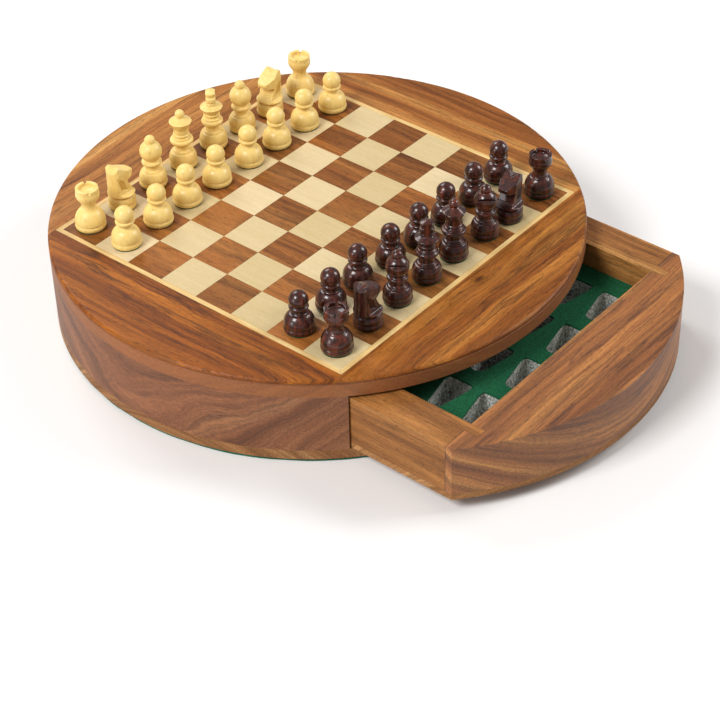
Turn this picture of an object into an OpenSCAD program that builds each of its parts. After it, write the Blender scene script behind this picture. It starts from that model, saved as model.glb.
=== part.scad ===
// Round chess box with two drawers: a wooden case with a magnetic board let into its lid,
// a drawer on each side with cut foam for the men, and the 32 turned men on the board.
// Millimetres. Z is up from the middle of the case's underside, X runs along the ranks and
// the front drawer slides out towards -Y. White stands at +Y.

/* [Case] */

// Width of the round case
case_d = 305; // [300:1:370]
// Height of the case, from the table to the board
case_h = 55; // [48:1:70]
// Thickness of the lid, with the board that is let into it
lid_t = 11; // [9:0.5:14]
// Thickness of the wooden bottom
base_t = 6.5; // [5:0.5:10]
// Thickness of the green cloth under the bottom
baize_t = 1.5; // [1:0.1:2.5]
// Rounding of the lid's upper edge
rim_round = 2; // [1:0.1:2.5]
// How far the quirk line lies below the top of the lid
quirk_drop = 2.9; // [2.8:0.1:5]
// Thickness of the divider between the two drawers
divider_t = 6; // [4:0.5:10]

/* [Board] */

// One square of the board, from seam to seam
cell = 25.4; // [24:0.1:25.8]
// Width of the light strip around the squares
border_w = 3; // [2:0.1:3.5]
// Thickness of the veneer squares and strips
veneer_t = 1.5; // [1:0.1:2]
// Thickness of the steel sheet that holds the magnets
steel_t = 0.5; // [0.4:0.1:1]
// Seam between neighbouring pieces of veneer
seam = 0.1; // [0.05:0.01:0.2]

/* [Drawers] */

// How far the front drawer stands open
front_open = 65; // [0:1:88]
// Width of the opening in the case
bay_w = 211.5; // [200:0.5:214]
// Gap on each side of a drawer
side_gap = 1.25; // [0.5:0.05:2]
// Gap under a drawer
under_gap = 0.3; // [0.3:0.1:1]
// Gap between the top of a drawer and the lid
over_gap = 1.7; // [0.8:0.1:3]
// Gap between a closed drawer and the divider
end_gap = 0.3; // [0.3:0.1:2]
// Thickness of the round front at its middle
front_t = 45.8; // [44:0.2:56]
// Thickness of the side rails
rail_t = 22; // [16:0.5:27]
// Thickness of the tongue that joins a rail to the front
tongue_t = 6.3; // [4:0.1:9]
// Length of that tongue
tongue_l = 8.6; // [4:0.1:10.5]
// Gap around that tongue
tongue_gap = 0.1; // [0.05:0.01:0.3]
// Thickness of the back of a drawer
back_t = 8; // [6:0.5:10]
// Thickness of the bottom board of a drawer
tray_t = 3.7; // [3:0.1:5]

/* [Foam] */

// Thickness of the foam
foam_t = 14; // [11:0.5:17]
// Thickness of the felt on the foam
felt_t = 1; // [0.5:0.1:2]
// Gap between the foam and the wood around it
foam_gap = 0.1; // [0.05:0.05:0.4]
// Foam left under each slot
slot_floor = 1.5; // [1:0.1:3]
// How much narrower a slot is than its man, on each side, so that the foam grips it
slot_squeeze = 0.7; // [0:0.1:1.5]
// Spare length of a slot beyond the man's height
slot_spare = 1.1; // [0.5:0.1:2]
// Foam left between the front of the drawer and the first slots
slot_margin = 4.9; // [1:0.1:6]
// Foam left between the back of the drawer and the officers' slots
back_margin = 5; // [1.5:0.5:8]
// Foam left beside the outer officers' slots
officer_margin = 2.8; // [1:0.1:4]
// Foam left beside the outer pawns' slots
pawn_margin = 13.45; // [4:0.05:18]

/* [Men] */

// Height of a pawn
pawn_h = 24.9; // [24:0.1:30]
// Height of a rook
rook_h = 26.5; // [25:0.1:31]
// Height of a knight
knight_h = 28.5; // [27:0.1:31]
// Height of a bishop
bishop_h = 33; // [31:0.1:39]
// Height of a queen
queen_h = 37.5; // [35:0.1:40]
// Height of a king
king_h = 38; // [36:0.1:40]
// Radius of a pawn's foot
pawn_foot = 8.7; // [8.2:0.1:9.5]
// Radius of a rook's foot
rook_foot = 8.9; // [8.4:0.1:9.5]
// Radius of a knight's foot
knight_foot = 8.2; // [8:0.1:9]
// Radius of a bishop's foot
bishop_foot = 8.3; // [8:0.1:9.2]
// Radius of a queen's foot
queen_foot = 8.4; // [8:0.1:9.2]
// Radius of a king's foot
king_foot = 8.4; // [8:0.1:9.2]
// Thickness of the felt under each man
pad_t = 0.5; // [0.4:0.1:1.2]
// How far that felt stays inside the foot's edge
pad_inset = 0.6; // [0.2:0.1:1]
// Glue line between that felt and the wood
glue_t = 0.05; // [0.03:0.01:0.1]

/* [Hidden] */

$fn = 96;

side = 8;                                   // squares along one side of the board
case_r = case_d / 2;
baize_r = case_r - 0.5;
lid_z = case_h - lid_t;                     // underside of the lid
floor_z = baize_t + base_t;                 // top of the bottom, where the bays start
field_w = side * cell;
board_w = field_w + 2 * border_w;           // the square let into the lid
core_t = lid_t - veneer_t - steel_t;
quirk_r = 0.45;
edge_r = 0.8;                               // rounding of the case's lower edge

drawer_w = bay_w - 2 * side_gap;
tray_z = floor_z + under_gap;
rail_z = tray_z + tray_t;
rail_top = lid_z - over_gap;
tail_y = -(divider_t / 2 + end_gap);        // back end of the closed front drawer
front_y = -(case_r - front_t);              // back of its round front
foam_w = drawer_w - 2 * rail_t - 2 * foam_gap;
foam_y0 = front_y + foam_gap;
foam_y1 = tail_y - back_t - foam_gap;
felt_z = rail_z + foam_t;
pawn_slot_l = pawn_h + slot_spare;
pawn_slot_w = 2 * (pawn_foot - slot_squeeze);
rook_slot_w = 2 * (rook_foot - slot_squeeze);
king_slot_l = king_h + slot_spare;
officer_y = foam_y1 - back_margin;          // back ends of the officers' slots
pawn_y = foam_y0 + slot_margin + pawn_slot_w / 2;
officer_pitch = (foam_w - rook_slot_w - 2 * officer_margin) / (side - 1);
pawn_pitch_x = (foam_w - pawn_slot_l - 2 * pawn_margin) / 3;
rows_spare = officer_y - king_slot_l - foam_y0 - slot_margin - 2 * pawn_slot_w;
pawn_pitch_y = pawn_slot_w + rows_spare / 2;

// The back ranks from -X to +X, the same for both sides but for king and queen.
white_rank = ["rook", "knight", "bishop", "queen", "king", "bishop", "knight", "rook"];
black_rank = ["rook", "knight", "bishop", "king", "queen", "bishop", "knight", "rook"];
ranks = [white_rank, black_rank];
sides = ["white", "black"];
wood_colors = ["#dcb768", "#4a2018"];

// How far each man stands from the middle of its square, from -X to +X.
white_rank_off = [[-0.8, 2.3], [-0.4, 2.6], [1, 3.8], [1, 3.8],
                  [1.9, 3.9], [0.6, 2.8], [-0.9, 1.5], [1.8, 1.5]];
white_pawn_off = [[-0.4, -0.1], [0.7, 0.7], [0, 1.4], [-0.4, 1.2],
                  [1.2, 0.6], [0.3, 0.3], [0.5, 0.4], [0.1, -0.2]];
black_rank_off = [[-0.3, -0.2], [0.4, 0.2], [0.7, 0.8], [0.8, 0.8],
                  [0.5, 1.8], [2.1, 0.4], [-2.6, -0.7], [2.8, 0.3]];
black_pawn_off = [[0.2, 0.6], [0, 0], [0.3, 2.5], [0.4, 0.3],
                  [-0.1, 0.2], [-0.5, 0.6], [-0.3, 0.5], [0.7, 2.4]];
rank_off = [white_rank_off, black_rank_off];
pawn_off = [white_pawn_off, black_pawn_off];

// How far each man is turned about its own axis, from -X to +X.
white_turn = [10, 0, 40, 0, 42, 46, 186, -14];
black_turn = [-8, 0, 215, 132, 0, 222, 185, 20];
rank_turn = [white_turn, black_turn];

case_nodes = ["light_squares", "dark_squares", "border_strips", "front_segment", "rear_segment",
              "left_segment", "right_segment", "steel_sheet", "board_core", "left_block",
              "right_block", "divider", "bottom_disc", "baize"];
drawer_sides = ["front", "rear"];
drawer_parts = ["face", "left_rail", "right_rail", "back", "bottom", "foam", "felt"];

function drawer_node(d, p) = str(drawer_sides[d], "_drawer_", drawer_parts[p]);
function single(kind) = kind == "king" || kind == "queen";
function officer_node(s, j) = single(ranks[s][j])
    ? str(sides[s], "_", ranks[s][j])
    : str(sides[s], "_", ranks[s][j], "_", j < side / 2 ? 1 : 2);
function pawn_node(s, j) = str(sides[s], "_pawn_", j + 1);

function man_h(kind) = kind == "pawn" ? pawn_h : kind == "rook" ? rook_h : kind == "knight" ? knight_h
    : kind == "bishop" ? bishop_h : kind == "queen" ? queen_h : king_h;
function man_foot(kind) = kind == "pawn" ? pawn_foot : kind == "rook" ? rook_foot
    : kind == "knight" ? knight_foot : kind == "bishop" ? bishop_foot
    : kind == "queen" ? queen_foot : king_foot;
function man_head(kind) = kind == "pawn" ? pawn_head_r : kind == "rook" ? rook_head_r
    : kind == "knight" ? knight_head_r : kind == "bishop" ? bishop_head_r
    : kind == "queen" ? queen_head_r : king_head_r;

// Widest radius of each man's head.
pawn_head_r = 5.4;
rook_head_r = 6.8;
knight_head_r = 7.9;
bishop_head_r = 6.5;
queen_head_r = 6.75;
king_head_r = 6.85;

// ---- Case ----

// A disc from z0 up, as wide as the case.
module case_disc(z0, t) {
    translate([0, 0, z0]) cylinder(r = case_r, h = t);
}

// The lid's round blank: rounded upper edge, with a fine quirk line below it.
module lid_blank() {
    rotate_extrude() difference() {
        square([case_r, lid_t]);
        translate([case_r - rim_round, lid_t - rim_round]) difference() {
            square(rim_round + 1);
            circle(r = rim_round);
        }
        translate([case_r, lid_t - quirk_drop]) circle(r = quirk_r);
    }
}

// The part of the lid between x0..x1 and y0..y1.
module lid_piece(x0, x1, y0, y1) {
    translate([0, 0, lid_z]) intersection() {
        lid_blank();
        translate([x0, y0, -1]) cube([x1 - x0, y1 - y0, lid_t + 2]);
    }
}

module front_segment() {
    color("#9c6234") lid_piece(-case_r, case_r, -case_r, -board_w / 2);
}

module rear_segment() {
    color("#9c6234") lid_piece(-case_r, case_r, board_w / 2, case_r);
}

module left_segment() {
    color("#96602f") lid_piece(-case_r, -board_w / 2, -board_w / 2, board_w / 2);
}

module right_segment() {
    color("#96602f") lid_piece(board_w / 2, case_r, -board_w / 2, board_w / 2);
}

module board_core() {
    color("#b99a6b") translate([-board_w / 2, -board_w / 2, lid_z]) cube([board_w, board_w, core_t]);
}

module steel_sheet() {
    color("#8d9093") translate([-board_w / 2, -board_w / 2, lid_z + core_t])
        cube([board_w, board_w, steel_t]);
}

// Half of the board's squares: shade 0 is the dark ones, one of which is at each player's right.
module squares(shade) {
    tile = cell - seam;
    color(shade == 0 ? "#8a4f26" : "#e6cf9c")
        for (i = [0:side - 1]) for (j = [0:side - 1]) if ((i + j) % 2 == shade)
            translate([(j - side / 2) * cell + seam / 2, (side / 2 - 1 - i) * cell + seam / 2,
                       case_h - veneer_t])
                cube([tile, tile, veneer_t]);
}

// Four light strips around the squares, mitred at the corners.
module border_strips() {
    inner = field_w / 2 + seam / 2;
    outer = board_w / 2;
    color("#e2c88f") for (turn = [0, 90, 180, 270]) rotate([0, 0, turn])
        translate([0, 0, case_h - veneer_t]) linear_extrude(veneer_t)
            polygon([[-inner + seam, -inner], [inner - seam, -inner],
                     [outer - seam, -outer], [-outer + seam, -outer]]);
}

// The wood on either side of the bays.
module side_block(dir) {
    color("#8e5a30") intersection() {
        case_disc(floor_z, lid_z - floor_z);
        translate([dir > 0 ? bay_w / 2 : -case_r, -case_r, 0]) cube([case_r - bay_w / 2, case_d, case_h]);
    }
}

module divider() {
    color("#a8773f") translate([-bay_w / 2, -divider_t / 2, floor_z])
        cube([bay_w, divider_t, lid_z - floor_z]);
}

module bottom_disc() {
    color("#9a6738") translate([0, 0, baize_t]) rotate_extrude() difference() {
        square([case_r, base_t]);
        translate([case_r - edge_r, edge_r]) difference() {
            translate([0, -edge_r - 1]) square(edge_r + 1);
            circle(r = edge_r);
        }
    }
}

module baize() {
    color("#1c6b49") cylinder(r = baize_r, h = baize_t);
}

// ---- Drawers, drawn as the closed front one ----

// Puts a drawer where it stands: 0 is the front one, pulled out, and 1 the closed rear one.
module place_drawer(d) {
    if (d == 0) translate([0, -front_open, 0]) children();
    else rotate([0, 0, 180]) children();
}

// The drawer's outline from above, between y0 and y1.
module drawer_outline(y0, y1) {
    intersection() {
        circle(r = case_r, $fn = 240);
        translate([-drawer_w / 2, y0]) square([drawer_w, y1 - y0]);
    }
}

// The round front, with a notch for the tongue of each rail.
module drawer_face() {
    notch_t = tongue_t + 2 * tongue_gap;
    color("#9a5f33") difference() {
        translate([0, 0, rail_z]) linear_extrude(rail_top - rail_z) drawer_outline(-case_r, front_y);
        for (dir = [-1, 1]) translate([dir * (drawer_w / 2 - rail_t + tongue_t / 2), front_y, rail_z - 1])
            translate([-notch_t / 2, -tongue_l - tongue_gap, 0])
                cube([notch_t, tongue_l + tongue_gap + 1, rail_top - rail_z + 2]);
    }
}

// A side rail: its inner part goes on as a tongue into the front.
module drawer_rail(dir) {
    rail_l = tail_y - front_y;
    x_in = drawer_w / 2 - rail_t;
    color("#a56b35") translate([0, 0, rail_z]) linear_extrude(rail_top - rail_z)
        scale([dir, 1]) union() {
            translate([x_in, front_y]) square([rail_t, rail_l]);
            translate([x_in, front_y - tongue_l]) square([tongue_t, tongue_l + 1]);
        }
}

module drawer_back() {
    back_w = drawer_w - 2 * rail_t;
    color("#a56b35") translate([-back_w / 2, tail_y - back_t, rail_z])
        cube([back_w, back_t, rail_top - rail_z]);
}

module drawer_bottom() {
    color("#b98349") translate([0, 0, tray_z]) linear_extrude(tray_t) drawer_outline(-case_r, tail_y);
}

// A slot for one man lying down, foot at the origin and head along +X.
module slot(kind) {
    slot_l = man_h(kind) + slot_spare;
    foot_hw = man_foot(kind) - slot_squeeze;
    head_hw = man_head(kind) - slot_squeeze;
    foot_l = 5;
    shoulder = 0.97;                        // keeps the taper just inside the rounded end
    head_x = slot_l - head_hw;
    polygon([[0, -foot_hw], [foot_l, -foot_hw], [head_x, -shoulder * head_hw],
             [head_x, shoulder * head_hw], [foot_l, foot_hw], [0, foot_hw]]);
    translate([head_x, 0]) circle(r = head_hw);
}

// All 16 slots of a drawer: two rows of pawns near the front, officers head to tail behind them.
module slots() {
    for (c = [0:3]) for (r = [0, 1])
        translate([(c - 1.5) * pawn_pitch_x + pawn_slot_l / 2, pawn_y + r * pawn_pitch_y])
            rotate(180) slot("pawn");
    for (j = [0:side - 1]) {
        foot_back = j % 2 == 0;
        translate([(j - 3.5) * officer_pitch, foot_back ? officer_y : officer_y - king_slot_l])
            rotate(foot_back ? -90 : 90) slot(white_rank[j]);
    }
}

module drawer_foam() {
    color("#6f7570") difference() {
        translate([-foam_w / 2, foam_y0, rail_z]) cube([foam_w, foam_y1 - foam_y0, foam_t]);
        translate([0, 0, rail_z + slot_floor]) linear_extrude(foam_t) slots();
    }
}

module drawer_felt() {
    color("#14603f") translate([0, 0, felt_z]) linear_extrude(felt_t) difference() {
        translate([-foam_w / 2, foam_y0]) square([foam_w, foam_y1 - foam_y0]);
        slots();
    }
}

// ---- Turning profiles: radius along X, height along Y ----

module band(r, z0, z1) {
    translate([0, z0]) square([r, z1 - z0]);
}

// A disc with a rounded rim; the rim's radius is more than half of its thickness.
module bead(r, z0, z1, rim) {
    intersection() {
        band(r + 1, z0, z1);
        union() {
            band(r - rim, z0, z1);
            translate([r - rim, (z0 + z1) / 2]) circle(r = rim);
        }
    }
}

// A belly: a circle of radius curve that is widest, at r, at height z.
module belly(r, z, curve, z0, z1) {
    intersection() {
        band(r + 1, z0, z1);
        union() {
            band(max(r - curve, 1), z0, z1);
            translate([r - curve, z]) circle(r = curve);
        }
    }
}

// A waist, hollowed to radius r by a circle of radius curve, or a wider one where it is longer.
module waist(r, z0, z1, curve) {
    half = (z1 - z0) / 2;
    arc = max(curve, 1.2 * half);
    lip = 0.05;
    difference() {
        band(r + arc - sqrt(arc * arc - half * half) - lip, z0, z1);
        translate([r + arc, (z0 + z1) / 2]) circle(r = arc);
    }
}

// A cone's section, from radius r0 at z0 to r1 at z1.
module taper(r0, z0, r1, z1) {
    polygon([[0, z0], [r0, z0], [r1, z1], [0, z1]]);
}

// The foot, and the groove that parts it from the belly above.
module foot(r, top) {
    rim = 2.6;
    difference() {
        bead(r, pad_t + glue_t, top, rim);
        translate([r + 0.1, top + 0.1]) circle(r = 0.5);
    }
}

// Turns a profile, keeping only what lies on the right of the axis.
module turned() {
    rotate_extrude() intersection() {
        square([20, 60]);
        union() children();
    }
}

// The felt disc under a man.
module pad(foot_r) {
    cylinder(r = foot_r - pad_inset, h = pad_t);
}

// ---- Men, standing on z = 0 ----

module pawn_wood() {
    h = pawn_h;
    turned() {
        foot(pawn_foot, 4);
        belly(pawn_foot - 0.3, 5.2, 7.3, 4, 11.3);
        waist(3.7, 11.2, h - 9.9, 2.4);
        bead(5.45, h - 10.4, h - 8.6, 1.3);
        translate([0, h - pawn_head_r]) circle(r = pawn_head_r);
    }
}

module rook_wood() {
    h = rook_h;
    cup_z = h - 4.2;
    well_r = 4.6;
    well_d = 2.2;
    notch_w = 1.5;
    notch_d = 1.6;
    difference() {
        turned() {
            foot(rook_foot, 4.2);
            belly(rook_foot - 0.2, 4.8, 9.8, 4.2, 12);
            waist(4.1, 11.9, h - 8.4, 5);
            belly(rook_head_r, cup_z, 5.5, h - 8.5, h - 1);
            band(rook_head_r - 0.25, cup_z - 0.5, h);
        }
        translate([0, 0, h - well_d]) cylinder(r = well_r, h = well_d + 1);
        for (turn = [45, 135]) rotate([0, 0, turn])
            translate([-10, -notch_w / 2, h - notch_d]) cube([20, notch_w, notch_d + 1]);
    }
}

// The bishop's mitre has one slanting cut.
module bishop_wood() {
    h = bishop_h;
    head_z = h - 10.2;
    slit_w = 1;
    difference() {
        turned() {
            foot(bishop_foot, 4.2);
            belly(bishop_foot - 0.2, 5.3, 7.1, 4.2, 10);
            bead(5.5, 9.9, 11.1, 0.9);
            waist(4, 11, h - 18.2, 4);
            bead(5.9, h - 18.3, h - 16.1, 1.4);
            waist(4.3, h - 16.2, h - 14, 1.6);
            translate([0, head_z]) circle(r = bishop_head_r);
            translate([0, h - 3.1]) circle(r = 3.1);
        }
        translate([4.4, 0, head_z + 2.4]) rotate([0, -52, 0])
            translate([-1, -10, -slit_w / 2]) cube([10, 20, slit_w]);
    }
}

module queen_wood() {
    h = queen_h;
    rim_z = h - 7.2;
    turned() {
        foot(queen_foot, 4.4);
        belly(queen_foot - 0.2, 5.6, 7.5, 4.4, 10.2);
        bead(5.6, 10.1, 11.5, 1);
        waist(3.9, 11.4, h - 21.1, 6);
        bead(6.9, h - 21.2, h - 18.6, 1.6);
        bead(5.3, h - 18.7, h - 17.2, 0.95);
        bead(4.9, h - 16.6, h - 15.3, 0.85);
        band(4.3, h - 17.5, h - 11.2);
        taper(4.5, h - 11.7, queen_head_r, rim_z);
        taper(queen_head_r - 0.3, rim_z - 0.1, 2.2, h - 4.6);
        translate([0, h - 2.8]) circle(r = 2.8);
    }
}

// The king's crown ends in a cross: turned arms, cut flat on two sides.
module king_wood() {
    h = king_h;
    rim_z = h - 10.9;
    cross_t = 5.6;
    turned() {
        foot(king_foot, 4.4);
        belly(king_foot - 0.2, 5.6, 7.4, 4.4, 10.2);
        bead(5.6, 10.1, 11.5, 1);
        waist(4.1, 11.4, h - 21.9, 6);
        bead(6.45, h - 22, h - 19.2, 1.7);
        bead(5.4, h - 19.3, h - 17.7, 1);
        bead(4.9, h - 16.5, h - 15.1, 0.9);
        band(4.4, h - 17.8, h - 14.4);
        taper(4.7, h - 14.6, king_head_r, rim_z);
        taper(king_head_r - 0.3, rim_z - 0.1, 3.2, h - 9.3);
    }
    intersection() {
        turned() {
            band(3.2, h - 9.6, h - 4);
            taper(3.3, h - 9.4, 3.85, h - 8.4);
            taper(3.85, h - 8.5, 3.2, h - 7.5);
            band(4.05, h - 6.9, h - 4.3);
            taper(3, h - 4.4, 3.85, h - 1.5);
            belly(3.85, h - 1.7, 5, h - 1.6, h - 0.9);
            taper(3.6, h - 1, 0.6, h);
        }
        translate([-6, -cross_t / 2, h - 10]) cube([12, cross_t, 11]);
    }
}

// The carved knight, muzzle towards +X: a side outline and a front outline cut from a turned
// blank, then slanted muzzle, eyes, mane, mouth and the valley between the ears.
module knight_wood() {
    h = knight_h;
    skirt_z = 9.6;
    blank_r = 7.6;
    neck_z = 13.2;
    neck_w = 4.9;
    cheek_w = 5.2;
    ear_w = 4.3;
    eye_x = -1.6;
    eye_z = h - 5.6;
    side_outline = [[-9, skirt_z], [6.8, skirt_z], [6.6, skirt_z + 0.5], [3.8, neck_z],
                    [1.3, h - 10.7], [1.3, h - 9.7], [4.4, h - 9.4], [6.6, h - 8.5],
                    [7.6, h - 7.3], [7.5, h - 5.7], [0.8, h - 3.2], [-4.4, h],
                    [-6, h - 0.9], [-9, h - 5.5]];
    half_front = [[9, skirt_z], [neck_w + 0.5, skirt_z + 1.6], [neck_w, neck_z], [neck_w, h - 9],
                  [cheek_w, h - 7.5], [cheek_w, h - 4], [ear_w, h + 0.1], [0, h + 0.1], [0, skirt_z]];
    turned() {
        foot(knight_foot, 3.4);
        belly(knight_foot - 0.2, 5.4, 4.4, 3.4, 8.3);
        waist(5.6, 8.2, skirt_z + 0.1, 1.2);
    }
    difference() {
        intersection() {
            translate([0, 10, 0]) rotate([90, 0, 0]) linear_extrude(20) polygon(side_outline);
            translate([-10, 0, 0]) rotate([90, 0, 90]) linear_extrude(20) union() {
                polygon(half_front);
                mirror([1, 0]) polygon(half_front);
            }
            turned() {
                taper(blank_r + 0.4, skirt_z, blank_r, neck_z);
                band(blank_r, neck_z - 0.1, h + 1);
            }
        }
        for (dir = [-1, 1]) {
            // the muzzle narrows from the cheek
            translate([0, 0, h - 9.8]) linear_extrude(h) scale([1, dir])
                polygon([[1.2, cheek_w + 0.1], [9, 2.3], [9, 9], [1.2, 9]]);
            // ringed eye
            translate([eye_x, dir * cheek_w, eye_z]) rotate([90, 0, 0]) difference() {
                cylinder(r = 1.3, h = 0.8, center = true);
                cylinder(r = 0.95, h = 2, center = true);
            }
            // mane
            for (k = [0:3]) translate([-4.6 + 1.2 * k, dir * (neck_w + 0.1), h - 10.3 - 0.7 * k])
                rotate([0, -17, 0]) rotate([0, 0, 45]) cube([0.85, 0.85, 9 - 0.9 * k], center = true);
        }
        // mouth
        translate([4.6, -6, h - 8.1]) cube([6, 12, 0.45]);
        // the valley between the ears
        translate([-9, 0, 0]) rotate([90, 0, 90]) linear_extrude(14)
            polygon([[-3.9, h + 0.4], [0, h - 2.1], [3.9, h + 0.4]]);
    }
}

module man(kind, shade) {
    color(wood_colors[shade]) {
        if (kind == "pawn") pawn_wood();
        else if (kind == "rook") rook_wood();
        else if (kind == "knight") knight_wood();
        else if (kind == "bishop") bishop_wood();
        else if (kind == "queen") queen_wood();
        else king_wood();
    }
    color("#1c6b49") pad(man_foot(kind));
}

// Stands a man on square j, from -X, of the row whose middle is at y, off that square's middle.
module stand(kind, shade, j, y, off, turn) {
    translate([(j - 3.5) * cell + off[0], y + off[1], case_h]) rotate([0, 0, turn]) man(kind, shade);
}

module officer(s, j) {
    y = (s == 0 ? 1 : -1) * 3.5 * cell;
    stand(ranks[s][j], s, j, y, rank_off[s][j], rank_turn[s][j]);
}

module pawn(s, j) {
    y = (s == 0 ? 1 : -1) * 2.5 * cell;
    stand("pawn", s, j, y, pawn_off[s][j], 0);
}

// ---- Drawing ----

squares(1);  // light_squares
squares(0);  // dark_squares
border_strips();
front_segment();
rear_segment();
left_segment();
right_segment();
steel_sheet();
board_core();
side_block(-1);  // left_block
side_block(1);  // right_block
divider();
bottom_disc();
baize();
for (d = [0, 1]) {
    place_drawer(d) drawer_face();
    place_drawer(d) drawer_rail(-1);
    place_drawer(d) drawer_rail(1);
    place_drawer(d) drawer_back();
    place_drawer(d) drawer_bottom();
    place_drawer(d) drawer_foam();
    place_drawer(d) drawer_felt();
}
for (s = [0, 1]) for (j = [0:7]) {
    officer(s, j);
    pawn(s, j);
}
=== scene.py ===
import math
import bmesh
import bpy
import numpy as np
from mathutils import Matrix


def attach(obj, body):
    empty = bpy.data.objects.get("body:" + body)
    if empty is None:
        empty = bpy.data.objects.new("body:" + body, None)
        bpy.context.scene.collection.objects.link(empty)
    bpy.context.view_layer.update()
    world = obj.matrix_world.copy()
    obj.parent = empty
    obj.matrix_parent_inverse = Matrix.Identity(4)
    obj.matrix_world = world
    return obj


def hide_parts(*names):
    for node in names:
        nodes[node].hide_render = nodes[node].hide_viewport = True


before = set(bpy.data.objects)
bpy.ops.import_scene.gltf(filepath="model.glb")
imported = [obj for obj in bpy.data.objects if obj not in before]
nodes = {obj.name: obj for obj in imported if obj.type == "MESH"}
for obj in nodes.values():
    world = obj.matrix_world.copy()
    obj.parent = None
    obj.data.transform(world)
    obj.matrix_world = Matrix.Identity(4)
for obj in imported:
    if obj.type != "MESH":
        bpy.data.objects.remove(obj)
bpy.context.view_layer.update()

# ---------------------------------------------------------------------------------------------
# Camera, table and light. The camera stands where the photograph was taken from: to the front left
# of the box, about 40 degrees above it, with a long lens. The table is a plain pale sheet, and the
# light comes from large soft panels and a pale room.
# ---------------------------------------------------------------------------------------------
eye = (-0.7374, -0.6533, 0.7393)
looked_at = (-0.0894, -0.1046, 0.0550)
camera_roll = math.radians(-1.45)


def aimed(place, target, roll=0.0):
    """The matrix of something at place that looks at target, turned by roll about its own axis."""
    place, target = np.array(place), np.array(target)
    forward = (target - place) / np.linalg.norm(target - place)
    level = np.cross(forward, [0.0, 0.0, 1.0])
    level /= np.linalg.norm(level)
    upright = np.cross(level, forward)
    right = math.cos(roll) * level + math.sin(roll) * upright
    above = math.cos(roll) * upright - math.sin(roll) * level
    rows = [[right[i], above[i], -forward[i], place[i]] for i in range(3)]
    return rows + [[0.0, 0.0, 0.0, 1.0]]


def add_to_scene(name, data):
    """A new object that holds data, in the scene."""
    made = bpy.data.objects.new(name, data)
    bpy.context.scene.collection.objects.link(made)
    return made


camera_data = bpy.data.cameras.new("camera")
camera_data.sensor_width = 36.0
camera_data.lens = 105.39
camera_data.clip_end = 20.0
camera = add_to_scene("camera", camera_data)
camera.matrix_world = Matrix(aimed(eye, looked_at, camera_roll))
bpy.context.scene.camera = camera


def to_linear(hex_colour):
    """The linear RGBA of an sRGB hex colour, by the sRGB transfer curve."""
    values = [int(hex_colour[i:i + 2], 16) / 255 for i in (1, 3, 5)]
    return [v / 12.92 if v <= 0.04045 else ((v + 0.055) / 1.055) ** 2.4 for v in values] + [1.0]


def add_node(tree, kind, inputs=(), stops=None, **settings):
    """Adds a node: its settings, its ramp's stops if it has one, and its inputs or links."""
    made = tree.nodes.new(kind)
    for key, value in settings.items():
        setattr(made, key, value)
    if stops:
        elements = made.color_ramp.elements
        while len(elements) < len(stops):
            elements.new(0.5)
        for element, (place, colour) in zip(elements, stops):
            element.position = place
            element.color = to_linear(colour) if isinstance(colour, str) else [colour] * 3 + [1.0]
    for key, value in dict(inputs).items():
        if isinstance(value, bpy.types.NodeSocket):
            tree.links.new(value, made.inputs[key])
        else:
            made.inputs[key].default_value = value
    return made


def new_material(name, roughness, **constants):
    """A material with its shader and output, and the shader's constants."""
    material = bpy.data.materials.new(name)
    material.use_nodes = True
    tree = material.node_tree
    tree.nodes.clear()
    shader = add_node(tree, "ShaderNodeBsdfPrincipled", {"Roughness": roughness})
    for key, value in constants.items():
        shader.inputs[key.replace("_", " ").title().replace("Ior", "IOR")].default_value = value
    add_node(tree, "ShaderNodeOutputMaterial", {"Surface": shader.outputs["BSDF"]})
    return material, tree, shader


def new_piece(name, points, faces, smooth=True):
    """An object at the origin from an array of points in metres and a list of faces."""
    mesh = bpy.data.meshes.new(name)
    mesh.from_pydata(np.asarray(points).tolist(), [], [list(map(int, face)) for face in faces])
    mesh.validate()
    mesh.polygons.foreach_set("use_smooth", [smooth] * len(mesh.polygons))
    return add_to_scene(name, mesh)


def paint(piece, material):
    """Gives a piece this material alone."""
    piece.data.materials.clear()
    piece.data.materials.append(material)
    return piece


table_half = 4.0
table_paint, tree, shader = new_material("matt_pale_table", 0.7, specular_ior_level=0.2)
# the table reads a little darker to the camera than the light it gives back to the box
seen = add_node(tree, "ShaderNodeLightPath").outputs["Is Camera Ray"]
table_colour = add_node(tree, "ShaderNodeMix",
                        {0: seen, 6: to_linear("#dedcd8"), 7: to_linear("#eeecea")}, data_type="RGBA")
tree.links.new(table_colour.outputs[2], shader.inputs["Base Color"])
corners = np.array([[-1, -1, 0], [1, -1, 0], [1, 1, 0], [-1, 1, 0]]) * table_half
table = paint(new_piece("table", corners, [[0, 1, 2, 3]], smooth=False), table_paint)

world = bpy.data.worlds.new("pale_room")
bpy.context.scene.world = world
world.use_nodes = True
room = world.node_tree.nodes["Background"]
room.inputs["Color"].default_value = to_linear("#f4f4f6")
# the room looks white behind the table, but lights the box softly
room_light = 0.32
seen = add_node(world.node_tree, "ShaderNodeLightPath").outputs["Is Camera Ray"]
strength = add_node(world.node_tree, "ShaderNodeMath", {0: seen, 1: 1.0 - room_light, 2: room_light},
                    operation="MULTIPLY_ADD")
world.node_tree.links.new(strength.outputs[0], room.inputs["Strength"])

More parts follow.
